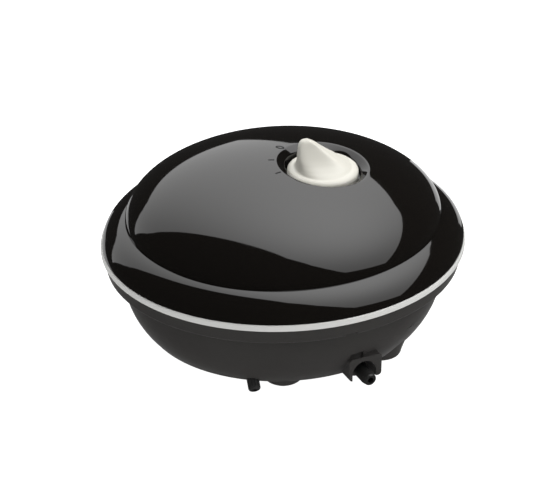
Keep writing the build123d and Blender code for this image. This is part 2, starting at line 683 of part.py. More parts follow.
def flap(side, face, into):
    """A rubber valve flap that hangs from a bead snapped into the valve wall."""
    x = PUMP_X + side * PORT_OFFSET
    xs = (x - FLAP_HALF_W, x + FLAP_HALF_W)
    near = face + into * FLAP_GAP
    far = face + into * (FLAP_GAP + FLAP_T)
    blade = block(xs, (min(near, far), max(near, far)), (BEAD_Z - FLAP_LENGTH, BEAD_Z))
    return blade + rod_x(BEAD_R, xs[0], xs[1], face - into * BEAD_IN, BEAD_Z)


def cavity(low, high, front, back):
    return block((low, high), (front, back), (MID - 11.5, MID + 11.5)) - bolt_pillars()


def bolt_pillars():
    """Material kept round the bolts inside the valve cover."""
    pillars = [rod_y(3.2, COVER_BACK, HEAD_BACK, x, z) for x, z in bolt_spots()]
    return Compound(children=pillars)


def valve_cover_gasket():
    sheet = head_block(HEAD_BACK - GASKET_T, HEAD_BACK)
    return bolted(sheet - cavities())


def cavities():
    """The inlet chamber on the left and the outlet chamber on the right."""
    left, right = PUMP_X - HEAD_HALF_W + COVER_WALL, PUMP_X + HEAD_HALF_W - COVER_WALL
    inlet = cavity(left, PUMP_X - COVER_WALL / 2, COVER_BACK + COVER_WALL, HEAD_BACK)
    return inlet + cavity(PUMP_X + COVER_WALL / 2, right, COVER_BACK + COVER_WALL, HEAD_BACK)


def valve_cover():
    box = head_block(COVER_BACK, HEAD_BACK - GASKET_T) - cavities()
    box += rod_y(SPIGOT_R, COVER_BACK - 7, COVER_BACK, OUTLET_X, HOSE_Z)
    box -= rod_y(BORE_R, COVER_BACK - 8, COVER_BACK + 3, OUTLET_X, HOSE_Z)
    left = PUMP_X - HEAD_HALF_W
    box -= rod_x(AIR_INLET_R, left - 1, left + COVER_WALL + 1, AIR_INLET_Y, MID)
    return bolted(box)


def diaphragm():
    """A rubber disc with one moulded ripple between its rim and its plates."""
    disc = rod(DIAPHRAGM_R, -DIAPHRAGM_T / 2, DIAPHRAGM_T / 2)
    disc = disc + (Pos(0, 0, -0.6) * Torus(RIPPLE_AT, 1.3)) - (Pos(0, 0, 0.5) * Torus(RIPPLE_AT, 1.1))
    disc -= rod(SCREW_R, -3, 3)
    return Pos(PUMP_X, HEAD_FACE + DIAPHRAGM_T / 2, MID) * Rot(90, 0, 0) * disc


def diaphragm_clamp():
    plate = head_block(HEAD_FACE, CLAMP_FACE)
    plate -= rod_y(DIAPHRAGM_R, HEAD_FACE - 1, HEAD_FACE + DIAPHRAGM_T, PUMP_X, MID)
    return bolted(plate - rod_y(CHAMBER_R + 0.4, HEAD_FACE, CLAMP_FACE + 1, PUMP_X, MID))


def diaphragm_plates():
    """A steel washer on each side of the rubber."""
    front, back = HEAD_FACE, HEAD_FACE + DIAPHRAGM_T
    spans = ((front - WASHER_T, front), (back, back + WASHER_T))
    washers = [rod_y(WASHER_R, near, far, PUMP_X, MID) for near, far in spans]
    return Compound(children=[washer - diaphragm_shank() for washer in washers])


def diaphragm_shank():
    return rod_y(SCREW_R, HEAD_FACE - WASHER_T, ARM_Y + 5.0, PUMP_X, MID)


def drive_spacer():
    back = HEAD_FACE + DIAPHRAGM_T + WASHER_T
    return rod_y(3.4, back, ARM_Y - ARM_HALF_T, PUMP_X, MID) - diaphragm_shank()


def diaphragm_screw():
    return diaphragm_shank() + rod_y(2.7, HEAD_FACE - WASHER_T - 1.6, HEAD_FACE - WASHER_T, PUMP_X, MID)


def hex_nut(x, z, front, thickness):
    """A hexagon nut on a shank along Y."""
    blank = extrude(Plane.XZ * (RegularPolygon(2.9, 6) - Circle(SCREW_R)), -thickness)
    return Pos(x, front, z) * blank


def head_bolts():
    bolts = []
    for x, z in bolt_spots():
        shank = rod_y(SCREW_R, COVER_BACK, CLAMP_FACE + 3.0, x, z)
        bolts.append(shank + rod_y(2.6, COVER_BACK - 2.0, COVER_BACK, x, z))
    return Compound(children=bolts)


def head_nuts():
    return Compound(children=[hex_nut(x, z, CLAMP_FACE, 2.4) for x, z in bolt_spots()])


def head_screw(x, y):
    return screw_up(x, y, CHASSIS_Z, HEAD_SCREW_TIP - 0.5, radius=SMALL_SCREW_R, head_r=2.4, head_t=1.6)


# ---------------------------------------------------------------- air filter
def filter_felt():
    return rod(FILTER_R - 0.2, FILTER_COVER_TOP, FILTER_CEILING, FILTER_X, FILTER_Y)


def filter_cover():
    """The twist-out grille under the felt."""
    lid = rod(FILTER_R, BOWL_BOTTOM, FILTER_COVER_TOP)
    for y in GRILLE_YS:
        length = 2 * math.sqrt(GRILLE_R ** 2 - y ** 2)
        lid -= Pos(0, y, BOWL_BOTTOM) * extrude(SlotOverall(length, GRILLE_SLOT), FILTER_R)
    lid -= Pos(0, 0, BOWL_BOTTOM) * extrude(SlotOverall(*COIN_SLOT), COIN_SLOT_DEEP)
    return Pos(FILTER_X, FILTER_Y, 0) * lid


# ---------------------------------------------------------------- regulator
def circuit_board():
    board = block(BOARD_X, BOARD_Y, (BOARD_Z, BOARD_TOP))
    for x, y in BOARD_SPOTS:
        board -= rod(SMALL_SCREW_R, BOARD_Z - 1, BOARD_TOP + 1, x, y)
    return board


def board_screw(x, y):
    return screw_up(x, y, BOARD_Z, BOARD_TOP + 5, radius=SMALL_SCREW_R, head_r=2.2, head_t=1.5)


def potentiometer():
    body = block((-POT_HALF, POT_HALF), (-POT_HALF, POT_HALF), (BOARD_TOP, POT_TOP))
    body += rod(BUSHING_R, POT_TOP, WELL_FLOOR + 1.5)
    body -= rod(SPINDLE_R + RUNNING_FIT, BOARD_TOP + 2, WELL_FLOOR + 3)
    return Pos(KNOB_X, KNOB_Y, 0) * body


def potentiometer_nut():
    nut = Pos(0, 0, WELL_FLOOR) * extrude(RegularPolygon(5.8, 6) - Circle(BUSHING_R), 1.3)
    return Pos(KNOB_X, KNOB_Y, 0) * nut


def knob_spindle():
    shaft = rod(SPINDLE_R, BOARD_TOP + 2.2, SPINDLE_TOP)
    shaft -= block((-4, 4), (SPINDLE_FLAT, 4), (KNOB_UNDER, SPINDLE_TOP + 1))
    return Pos(KNOB_X, KNOB_Y, 0) * Rot(0, 0, POINTER) * shaft


def fin_outline():
    """The grip from the side: a sail that rises towards the pointer end."""
    rise = FIN_TOP - KNOB_TOP
    heel, crest = (-11.0, 0.2), (5.7, rise)
    brow = (8.8, 0.66 * rise)
    return outline(
        Spline(heel, (-7.9, 0.2 * rise), (0.0, 0.7 * rise), crest, tangents=((1.0, 0.5), (1.0, 0.05))),
        ThreePointArc(crest, (7.9, 0.88 * rise), brow),
        Polyline(brow, (9.4, -1.0), (-11.0, -1.0), heel),
    )


def fin_section():
    """The grip's cross-section: a thin blade whose sides flare out into the disc."""
    rise = FIN_TOP - KNOB_TOP
    blade, hip, edge = (1.3, rise), (3.4, 0.34 * rise), (KNOB_R - 1.0, 0.02 * rise)
    flare = Spline(blade, hip, edge, tangents=((0.35, -1.0), (1.0, -0.12)))
    return outline(flare, Polyline(edge, (edge[0], -1.0), (0, -1.0), (0, rise), blade))


def regulator_knob():
    """A round disc with a sail-shaped grip across it."""
    disc = rod(KNOB_R, KNOB_UNDER, KNOB_TOP)
    disc = fillet(disc.edges().group_by(Axis.Z)[-1], KNOB_EDGE)
    disc += ring(KNOB_R - SKIRT_WALL, KNOB_R, SKIRT_BOTTOM, KNOB_UNDER + 0.6)
    sail = extrude(Plane.XZ * fin_outline(), KNOB_R, both=True)
    flank = extrude(Plane.YZ * fin_section(), KNOB_R, both=True)
    grip = sail & (flank + mirror(flank, Plane.XZ))
    shape = disc + Pos(0, 0, KNOB_TOP) * grip & rod(KNOB_R, KNOB_UNDER - 2, FIN_TOP)
    shaft = Pos(-KNOB_X, -KNOB_Y, 0) * knob_spindle()
    turned = Rot(0, 0, POINTER) * shape
    return Pos(KNOB_X, KNOB_Y, 0) * (turned - shaft)


def terminal_block():
    body = block((8, 20), (4, 11.4), (BOARD_TOP, BOARD_TOP + 7))
    for x in (11, 17):
        body -= rod(1.6, BOARD_TOP + 3, BOARD_TOP + 8, x, 8.4)
        body -= rod_y(1.3, 3, 7, x, BOARD_TOP + 2.6)
    return body


def capacitor():
    body = block((22, 35), (-15, -9), (BOARD_TOP, BOARD_TOP + 8))
    return fillet(body.edges().group_by(Axis.Z)[-1], 0.8)


def triac():
    body = block((24, 34), (-2.5, 1.5), (BOARD_TOP + 2, BOARD_TOP + 9))
    for x in (26.5, 29, 31.5):
        body += block((x - 0.4, x + 0.4), (-0.9, -0.3), (BOARD_TOP, BOARD_TOP + 2.2))
    return body


def resistors():
    bodies = []
    for x in (-3.2, 1.0):
        bodies.append(rod_y(1.4, -14, -7, x, BOARD_TOP + 1.4))
    return Compound(children=bodies)


# ---------------------------------------------------------------- every node
marks = scale_marks()
save("lower_housing", lower_housing())
save("top_cover", top_cover(marks))
save("trim_ring", trim_ring())
save("housing_gasket", housing_gasket())
save("rubber_feet", group(rubber_foot, pod_spots()))
save("housing_screws", group(housing_screw, pod_spots()))
save("scale_marks", marks)

save("air_nozzle", air_nozzle())
save("nozzle_o_ring", nozzle_o_ring())
save("outlet_hose", outlet_hose())
save("cord_gland", cord_gland())

save("chassis", chassis())
save("vibration_mounts", group(vibration_mount, MOUNT_SPOTS))
save("pivot_bracket", pivot_bracket())
save("pivot_pin", pivot_pin())
save("bracket_screws", group(bracket_screw, bracket_screw_spots()))
save("swing_arm", swing_arm())
save("arm_bush", arm_bush())
save("magnet_keeper", magnet_keeper())
save("arm_magnets", arm_magnets())

save("core_laminations", core_laminations())
save("core_screws", group(core_screw, core_screw_spots()))
save("coil_bobbin", coil_bobbin())
save("coil_winding", coil_winding())
save("coil_leads", group(coil_lead, [(BOBBIN_X[0] + 0.7, ARM_Y - 3), (BOBBIN_X[0] + 0.7, ARM_Y + 3)]))

save("pump_head", pump_head())
save("valve_cover", valve_cover())
save("valve_cover_gasket", valve_cover_gasket())
save("inlet_flap", flap(-1, VALVE_WALL, 1))
save("outlet_flap", flap(1, HEAD_BACK, -1))
save("diaphragm", diaphragm())
save("diaphragm_clamp", diaphragm_clamp())
save("diaphragm_plates", diaphragm_plates())
save("drive_spacer", drive_spacer())
save("diaphragm_screw", diaphragm_screw())
save("diaphragm_nut", hex_nut(PUMP_X, MID, ARM_Y + ARM_HALF_T, 2.2))
save("head_bolts", head_bolts())
save("head_nuts", head_nuts())
save("head_screws", group(head_screw, head_screw_spots()))

save("filter_felt", filter_felt())
save("filter_cover", filter_cover())

save("circuit_board", circuit_board())
save("board_screws", group(board_screw, BOARD_SPOTS))
save("potentiometer", potentiometer())
save("potentiometer_nut", potentiometer_nut())
save("knob_spindle", knob_spindle())
save("regulator_knob", regulator_knob())
save("terminal_block", terminal_block())
save("capacitor", capacitor())
save("triac", triac())
save("resistors", resistors())
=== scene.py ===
import json
import math

import bmesh
import bpy
from mathutils import Matrix, Vector

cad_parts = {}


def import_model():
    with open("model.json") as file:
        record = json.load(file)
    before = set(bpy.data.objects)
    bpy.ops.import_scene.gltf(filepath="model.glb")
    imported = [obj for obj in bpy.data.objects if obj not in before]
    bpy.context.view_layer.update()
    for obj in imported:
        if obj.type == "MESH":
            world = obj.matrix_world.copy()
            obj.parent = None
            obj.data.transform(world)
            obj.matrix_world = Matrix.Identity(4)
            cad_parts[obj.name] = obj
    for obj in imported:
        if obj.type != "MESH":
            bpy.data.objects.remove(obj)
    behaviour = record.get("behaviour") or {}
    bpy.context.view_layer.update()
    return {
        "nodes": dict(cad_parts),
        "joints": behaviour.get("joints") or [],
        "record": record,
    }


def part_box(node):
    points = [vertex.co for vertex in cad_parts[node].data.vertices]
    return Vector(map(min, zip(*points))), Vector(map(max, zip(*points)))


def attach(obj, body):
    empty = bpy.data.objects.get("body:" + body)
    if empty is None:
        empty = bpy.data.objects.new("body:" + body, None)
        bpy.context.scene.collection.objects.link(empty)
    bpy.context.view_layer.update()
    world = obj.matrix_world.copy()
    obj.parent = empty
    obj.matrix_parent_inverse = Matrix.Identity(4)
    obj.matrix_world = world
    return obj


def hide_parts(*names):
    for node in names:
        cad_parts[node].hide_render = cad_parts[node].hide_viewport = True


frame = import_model()

# The looks of an oval aquarium air pump. The shapes are in millimetres and become metres in mesh_piece();
# the floor, the lights and the camera are in metres.
MM = 0.001


# ---------------------------------------------------------------- places read from the frame
def limits(node):
    """A CAD node's lowest and highest corner in millimetres."""
    low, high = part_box(node)
    return low / MM, high / MM


def joint_place(name):
    """A joint's place in millimetres."""
    joint = next(j for j in frame["joints"] if j["name"] == name)
    return Vector(joint["pos_m"]) / MM


RING_LOW, RING_HIGH = limits("trim_ring")
HALF = RING_HIGH.x
ASPECT = RING_HIGH.y / RING_HIGH.x
RIM_Z, RING_TOP = RING_LOW.z, RING_HIGH.z
KNOB = joint_place("knob_turn")
KNOB_LOW, KNOB_HIGH = limits("regulator_knob")

# the trim ring: its rounded edges, and the web that runs in under the cover
RING_SOFT = 0.45
WEB_REACH, WEB_STEP, WEB_DROP = 4.0, 2.1, 1.2

# the cover's radii along X and its heights
WALL = 2.0
COVER_R = HALF - 0.5
CREASE_R, CREASE_Z = 56.3, 44.3
APEX_Z = 65.6
BRIM_SWEEP = math.radians(65)
TURNS = 288
DOME_STEPS, BRIM_STEPS, INNER_BRIM_STEPS, INNER_DOME_STEPS = 56, 26, 10, 20

# the knob's well in the cover, with a sloping lip whose ends are rounded over
WELL_R, WELL_LIP, WELL_FLOOR = 13.3, 2.7, 58.6
WELL_HOLE, WELL_CORNER, FLOOR_EDGE = 4.0, 0.5, 1.2
LIP_SLOPE, LIP_ROUND, LIP_INNER_SOFT, LIP_OUTER_SOFT = 0.58, 0.15, 0.4, 0.5

# the knob; its rim is rounded over by KNOB_EDGE, inwards and downwards
KNOB_R = (KNOB_HIGH.x - KNOB_LOW.x) / 2
KNOB_TOP, FIN_TOP = 63.1, KNOB_HIGH.z
KNOB_SKIRT, KNOB_UNDER, KNOB_EDGE = KNOB_LOW.z, KNOB_LOW.z + 1.3, (2.3, 1.6)
SKIRT_WALL, SKIRT_SOFT, RIM_GAP = 1.6, 0.2, 0.3
KNOB_COLUMNS, GRIP_LEVELS, LEVEL_POWER = 144, 48, 1.6
POINTER = math.radians(163.5)

# the grip's outline over the height above the disc: (height, value) from the disc up
GRIP_HEEL = ((0.0, -10.2), (0.3, -9.6), (0.8, -8.9), (1.8, -7.4), (4.0, -4.4), (6.6, -0.9), (8.6, 1.6),
             (10.2, 3.7), (11.3, 5.9))
GRIP_HEAD = ((0.0, 10.2), (0.2, 9.8), (0.7, 9.4), (1.5, 9.1), (2.8, 8.9), (6.0, 8.8), (8.8, 8.6),
             (10.1, 8.1), (10.9, 7.2), (11.3, 5.9))
GRIP_HALF_WIDTH = ((0.0, 10.2), (0.15, 9.8), (0.6, 8.9), (1.4, 7.3), (2.9, 5.2), (5.0, 3.5), (8.0, 2.1),
                   (10.6, 1.3), (11.3, 0.5))
GRIP_SQUARENESS = ((0.0, 2.0), (0.4, 2.2), (2.5, 3.4), (5.0, 5.0), (12.0, 4.6))

# the printed scale beside the well, as lengths, widths and how far the ink is sunk and stands proud
MARK_R, MARK_LENGTH, MARK_WIDTH, MARK_SUNK, MARK_PROUD = 17.9, 2.2, 0.65, -0.1, 0.04
ZERO_OUTER, ZERO_INNER = (3.4, 2.2), (2.2, 1.0)
MARK_COLUMNS, OVAL, BAR = 48, 2, 6
TICKS_AT = (math.radians(183.6), math.radians(153.8))
ZERO_AT = math.radians(120.0)


# ---------------------------------------------------------------- mesh helpers
def mesh_piece(name, points, faces, body="housing", smooth_angle=None):
    """A mesh object from points in millimetres, riding on a CAD body."""
    mesh = bpy.data.meshes.new(name)
    mesh.from_pydata([Vector(p) * MM for p in points], [], faces)
    mesh.validate()
    work = bmesh.new()
    work.from_mesh(mesh)
    bmesh.ops.recalc_face_normals(work, faces=work.faces)
    work.to_mesh(mesh)
    work.free()
    piece = bpy.data.objects.new(name, mesh)
    bpy.context.scene.collection.objects.link(piece)
    mesh.polygons.foreach_set("use_smooth", [True] * len(mesh.polygons))
    if smooth_angle is not None:
        mesh.set_sharp_from_angle(angle=math.radians(smooth_angle))
    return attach(piece, body)


def grid_faces(rows, columns, closed_rows=False):
    """Quads between rows of points, each row a closed loop."""
    faces = []
    last = rows if closed_rows else rows - 1
    for i in range(last):
        for j in range(columns):
            a, b = i * columns, (i + 1) % rows * columns
            k = (j + 1) % columns
            faces.append((a + j, a + k, b + k, b + j))
    return faces


def loops_piece(name, loops, body="housing", closed=False, smooth_angle=None):
    """A piece from a stack of closed loops of points; an open stack gets a fan at each end."""
    columns = len(loops[0])
    points = [p for loop in loops for p in loop]
    faces = grid_faces(len(loops), columns, closed)
    if not closed:
        for loop, start in ((loops[0], 0), (loops[-1], (len(loops) - 1) * columns)):
            points.append(sum((Vector(p) for p in loop), Vector()) / columns)
            centre = len(points) - 1
            faces += [(start + j, start + (j + 1) % columns, centre) for j in range(columns)]
    return mesh_piece(name, points, faces, body, smooth_angle)


def spun_loops(profile, columns=TURNS):
    """Oval loops from a profile of radius and height."""
    loops = []
    for radius, z in profile:
        loop = []
        for j in range(columns):
            turn = math.tau * j / columns
            loop.append((radius * math.cos(turn), radius * ASPECT * math.sin(turn), z))
        loops.append(loop)
    return loops


def superellipse(turn, squareness):
    """A unit oval's point at a bearing; a squareness of 2 is a circle, and more squares it off."""
    c, s = math.cos(turn), math.sin(turn)
    out = (abs(c) ** squareness + abs(s) ** squareness) ** (-1 / squareness)
    return out * c, out * s


def arc_points(start, corner, end, steps):
    """A round corner from start to end, as a conic drawn towards the corner."""
    start, corner, end = Vector(start), Vector(corner), Vector(end)
    half = (start - corner).angle(end - corner) / 2
    weight = math.sin(half)
    points = []
    for i in range(steps + 1):
        t = i / steps
        a, b, c = (1 - t) ** 2, 2 * t * (1 - t) * weight, t * t
        points.append((a * start + b * corner + c * end) / (a + b + c))
    return points


def blend_between(low, high, share):
    return low + (high - low) * share


# ---------------------------------------------------------------- the cover
def dome_height(x, y, inset=0.0):
    """The height of the domed top over a place, or of its inside when drawn in by a wall."""
    reach = CREASE_R - inset
    square = (x / reach) ** 2 + (y / (reach * ASPECT)) ** 2
    return CREASE_Z + (APEX_Z - CREASE_Z - inset) * math.sqrt(max(0.0, 1 - square))


def reach_to_crease(turn, inset):
    """How far a ray from the knob's axis runs before it meets the crease's oval."""
    radius = CREASE_R - inset
    dx, dy = math.cos(turn) / radius, math.sin(turn) / (radius * ASPECT)
    x, y = KNOB.x / radius, KNOB.y / (radius * ASPECT)
    a, b, c = dx * dx + dy * dy, x * dx + y * dy, x * x + y * y - 1
    return (-b + math.sqrt(b * b - a * c)) / a


def dome_point(turn, reach, inset=0.0):
    """A point of the dome, given by its bearing and distance from the knob's axis."""
    x, y = KNOB.x + reach * math.cos(turn), KNOB.y + reach * math.sin(turn)
    return (x, y, dome_height(x, y, inset))


def brim_profile(inset, steps):
    """Radius and height from the crease down to the trim ring."""
    span_x = (COVER_R - CREASE_R) / (1 - math.cos(BRIM_SWEEP))
    span_z = (CREASE_Z - RING_TOP) / math.sin(BRIM_SWEEP)
    profile = []
    for i in range(steps + 1):
        turn = BRIM_SWEEP * (1 - i / steps)
        radius = COVER_R - span_x + (span_x - inset) * math.cos(turn)
        profile.append((radius, RING_TOP + (span_z - inset) * math.sin(turn)))
    return profile


def cover_column(turn):
    """One slice of the cover's shell: from the well's hole out over the top, and back underneath."""
    along = Vector((math.cos(turn), math.sin(turn), 0))
    centre = Vector((KNOB.x, KNOB.y, 0))

    def at(reach, z):
        return centre + along * reach + Vector((0, 0, z))

    def along_dome(start, end, steps, inset=0.0):
        """Points between two reaches, closer together towards the crease."""
        shares = [math.sin(math.pi / 2 * i / steps) for i in range(steps + 1)]
        return [dome_point(turn, blend_between(start, end, share), inset) for share in shares]

    lip_end = WELL_R + WELL_LIP
    lip_out = Vector(dome_point(turn, lip_end))
    wall_top = at(WELL_R, lip_out.z - WELL_LIP * LIP_SLOPE)
    slant = lip_out - wall_top
    corner_in, corner_up = at(WELL_R - WELL_CORNER, WELL_FLOOR), at(WELL_R, WELL_FLOOR + WELL_CORNER)
    column = [at(WELL_HOLE, WELL_FLOOR), at(WELL_R - FLOOR_EDGE, WELL_FLOOR)]
    column += arc_points(corner_in, at(WELL_R, WELL_FLOOR), corner_up, steps=4)
    wall_end = wall_top - Vector((0, 0, LIP_INNER_SOFT))
    column += arc_points(wall_end, wall_top, wall_top + slant * LIP_ROUND, steps=4)
    dome_start = lip_end + LIP_OUTER_SOFT
    column += arc_points(lip_out - slant * LIP_ROUND, lip_out, dome_point(turn, dome_start), steps=5)
    crease = reach_to_crease(turn, 0)
    column += along_dome(dome_start, crease, DOME_STEPS)[1:-1]
    end = dome_point(turn, crease)
    oval_turn = math.atan2(end[1] / ASPECT, end[0])
    for radius, z in brim_profile(0, BRIM_STEPS) + brim_profile(WALL, INNER_BRIM_STEPS)[::-1]:
        column.append((radius * math.cos(oval_turn), radius * ASPECT * math.sin(oval_turn), z))
    cup = WELL_R + WALL
    column += along_dome(cup, reach_to_crease(turn, WALL), INNER_DOME_STEPS, WALL)[::-1]
    column += [at(cup, WELL_FLOOR - WALL), at(WELL_HOLE, WELL_FLOOR - WALL)]
    return column


def cover():
    """The gloss cover as one closed skin, with the knob's well in it."""
    columns = [cover_column(math.tau * j / TURNS) for j in range(TURNS)]
    loops = [[columns[j][i] for j in range(TURNS)] for i in range(len(columns[0]))]
    piece = loops_piece("cover_shell", loops, closed=True, smooth_angle=40)
    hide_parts("top_cover")
    return piece


def trim_ring():
    """A satin band with softened edges and a web that runs in between the shells."""
    bottom, top, outer, web_in = RIM_Z, RING_TOP, HALF, HALF - WEB_REACH
    shoulder = outer - RING_SOFT
    profile = [(web_in, bottom), (shoulder, bottom)]
    profile += arc_points((shoulder, bottom), (outer, bottom), (outer, bottom + RING_SOFT), steps=6)
    profile += arc_points((outer, top - RING_SOFT), (outer, top), (shoulder, top), steps=6)
    profile += [(outer - WEB_STEP, top), (outer - WEB_STEP, top - WEB_DROP), (web_in, top - WEB_DROP)]
    piece = loops_piece("trim_band", spun_loops(profile), closed=True, smooth_angle=40)
    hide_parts("trim_ring")
    return piece


# ---------------------------------------------------------------- the knob
def curve_value(points, x):
    """A smooth value through points sorted by x (a monotone cubic)."""
    if x <= points[0][0]:
        return points[0][1]
    if x >= points[-1][0]:
        return points[-1][1]
    spans = [(b[1] - a[1]) / (b[0] - a[0]) for a, b in zip(points, points[1:])]
    slopes = [spans[0]]
    for before, after in zip(spans, spans[1:]):
        same = before * after > 0
        slopes.append(2 * before * after / (before + after) if same else 0.0)
    slopes.append(spans[-1])
    i = next(k for k in range(len(spans)) if x <= points[k + 1][0])
    (x0, y0), (x1, y1) = points[i], points[i + 1]
    width = x1 - x0
    t = (x - x0) / width
    return (
        (1 + 2 * t) * (1 - t) ** 2 * y0
        + t * (1 - t) ** 2 * width * slopes[i]
        + t * t * (3 - 2 * t) * y1
        + t * t * (t - 1) * width * slopes[i + 1]
    )


def grip_loop(height):
    """The grip's level section: near the disc a wide oval, and higher up a long slot with squarer ends."""
    heel, head = curve_value(GRIP_HEEL, height), curve_value(GRIP_HEAD, height)
    half = curve_value(GRIP_HALF_WIDTH, height)
    squareness = curve_value(GRIP_SQUARENESS, height)
    loop = []
    for j in range(KNOB_COLUMNS):
        along, across = superellipse(math.tau * j / KNOB_COLUMNS, squareness)
        loop.append(((heel + head) / 2 + (head - heel) / 2 * along, half * across))
    return loop


def knob_place(point, z):
    """A point of the knob, given along and across the grip, turned to where the knob stands."""
    along, across = point
    x = KNOB.x + along * math.cos(POINTER) - across * math.sin(POINTER)
    y = KNOB.y + along * math.sin(POINTER) + across * math.cos(POINTER)
    return Vector((x, y, z))


def knob():
    """The disc with its skirt and rounded rim, and the grip that rises out of it, as one skin."""
    in_by, down_by = KNOB_EDGE
    skirt_in, rim_low = KNOB_R - SKIRT_WALL, KNOB_TOP - down_by
    profile = [
        (skirt_in, KNOB_UNDER),
        (skirt_in, KNOB_SKIRT),
        (KNOB_R - SKIRT_SOFT, KNOB_SKIRT),
        (KNOB_R, KNOB_SKIRT + SKIRT_SOFT),
        (KNOB_R, rim_low - RIM_GAP),
    ]
    profile += arc_points((KNOB_R, rim_low), (KNOB_R, KNOB_TOP), (KNOB_R - in_by, KNOB_TOP), steps=10)
    circle = [superellipse(math.tau * j / KNOB_COLUMNS, 2) for j in range(KNOB_COLUMNS)]
    loops = [[knob_place((radius * c, radius * s), z) for c, s in circle] for radius, z in profile]
    for i in range(1, GRIP_LEVELS + 1):
        height = (FIN_TOP - KNOB_TOP) * (i / GRIP_LEVELS) ** LEVEL_POWER
        loops.append([knob_place(point, KNOB_TOP + height) for point in grip_loop(height)])
    piece = loops_piece("knob_grip", loops, body="knob", smooth_angle=50)
    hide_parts("regulator_knob")
    return piece


# ---------------------------------------------------------------- the printed scale
def print_point(angle, along, across, lift):
    """A point of a mark at one bearing of the scale, laid on the dome."""
    reach = MARK_R + along
    x = KNOB.x + reach * math.cos(angle) - across * math.sin(angle)
    y = KNOB.y + reach * math.sin(angle) + across * math.cos(angle)
    return Vector((x, y, dome_height(x, y) + lift))


def mark_loop(angle, size, squareness, lift):
    """A closed loop round a mark: an oval, or a bar with rounded corners."""
    length, width = size
    loop = []
    for j in range(MARK_COLUMNS):
        along, across = superellipse(math.tau * j / MARK_COLUMNS, squareness)
        loop.append(print_point(angle, length / 2 * along, width / 2 * across, lift))
    return loop


def scale_marks():
    """The zero and the ticks, each a film of ink sunk into the gloss that stands a hair proud of it."""
    sizes = (ZERO_OUTER, ZERO_INNER, ZERO_INNER, ZERO_OUTER)
    lifts = (MARK_PROUD, MARK_PROUD, MARK_SUNK, MARK_SUNK)
    zero = [mark_loop(ZERO_AT, size, OVAL, lift) for size, lift in zip(sizes, lifts)]
    pieces = [loops_piece("scale_zero", zero, closed=True, smooth_angle=40)]
    for count, angle in enumerate(TICKS_AT, 1):
        bar = [mark_loop(angle, (MARK_LENGTH, MARK_WIDTH), BAR, lift) for lift in (MARK_SUNK, MARK_PROUD)]
        pieces.append(loops_piece(f"scale_tick_{count}", bar, smooth_angle=40))
    for piece in pieces:
        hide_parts("scale_marks")
    return pieces


# ---------------------------------------------------------------- materials
def new_material(name):
    material = bpy.data.materials.new(name)
    material.use_nodes = True
    tree = material.node_tree
    return material, tree, tree.nodes["Principled BSDF"]


def noise_node(tree, scale, detail):
    """Noise laid out in the object's own metres, so its grain is the same on every piece."""
    place = tree.nodes.new("ShaderNodeTexCoord")
    texture = tree.nodes.new("ShaderNodeTexNoise")
    texture.inputs["Scale"].default_value = scale
    texture.inputs["Detail"].default_value = detail
    tree.links.new(place.outputs["Object"], texture.inputs["Vector"])
    return texture


def ramp_node(tree, source, low, high, span=(0.3, 0.7)):
    """A value from a texture, drawn between two grey levels."""
    ramp = tree.nodes.new("ShaderNodeMapRange")
    ramp.inputs["From Min"].default_value, ramp.inputs["From Max"].default_value = span
    ramp.inputs["To Min"].default_value, ramp.inputs["To Max"].default_value = low, high
    tree.links.new(source, ramp.inputs["Value"])
    return ramp.outputs["Result"]


def varied_color(tree, shader, source, color, change):
    """The base colour, a little darker and lighter with a texture."""
    mix = tree.nodes.new("ShaderNodeMix")
    mix.data_type = "RGBA"
    mix.inputs["A"].default_value = [c * (1 - change) for c in color] + [1]
    mix.inputs["B"].default_value = [min(1, c * (1 + change)) for c in color] + [1]
    tree.links.new(source, mix.inputs["Factor"])
    tree.links.new(mix.outputs["Result"], shader.inputs["Base Color"])


def bump_from(tree, shader, source, strength, distance):
    """A fine relief from a texture."""
    bump = tree.nodes.new("ShaderNodeBump")
    bump.inputs["Strength"].default_value = strength
    bump.inputs["Distance"].default_value = distance
    tree.links.new(source, bump.inputs["Height"])
    tree.links.new(bump.outputs["Normal"], shader.inputs["Normal"])


def surface(name, color, rough, grain=900.0, bump=0.1, depth=0.00005, change=0.06, spread=0.06,
            metal=0.0, specular=0.5, coat=0.0, sheen=0.0):
    """A moulded, pressed or turned surface: blotches in colour, uneven gloss and a fine grain."""
    material, tree, shader = new_material(name)
    blotch = noise_node(tree, scale=60.0, detail=3.0)
    fine = noise_node(tree, scale=grain, detail=2.0)
    varied_color(tree, shader, blotch.outputs["Fac"], color, change)
    gloss = ramp_node(tree, blotch.outputs["Fac"], rough - spread, rough + spread)
    tree.links.new(gloss, shader.inputs["Roughness"])
    bump_from(tree, shader, fine.outputs["Fac"], bump, depth)
    shader.inputs["Metallic"].default_value = metal
    shader.inputs["Specular IOR Level"].default_value = specular
    shader.inputs["Coat Weight"].default_value = coat
    shader.inputs["Sheen Weight"].default_value = sheen
    shader.inputs["Sheen Roughness"].default_value = 0.3
    return material


COLORS = {m["slot"]: m["base_color"] for m in frame["record"]["materials"]}
COLORS.update({
    "cover_gloss": (0.0045, 0.0038, 0.0032),
    "knob_white": (0.60, 0.585, 0.525),
    "trim_silver": (0.52, 0.52, 0.505),
    "housing_matte": (0.029, 0.0272, 0.0255),
    "nozzle_black": (0.014, 0.014, 0.0135),
    "scale_grey": (0.012, 0.012, 0.013),
})

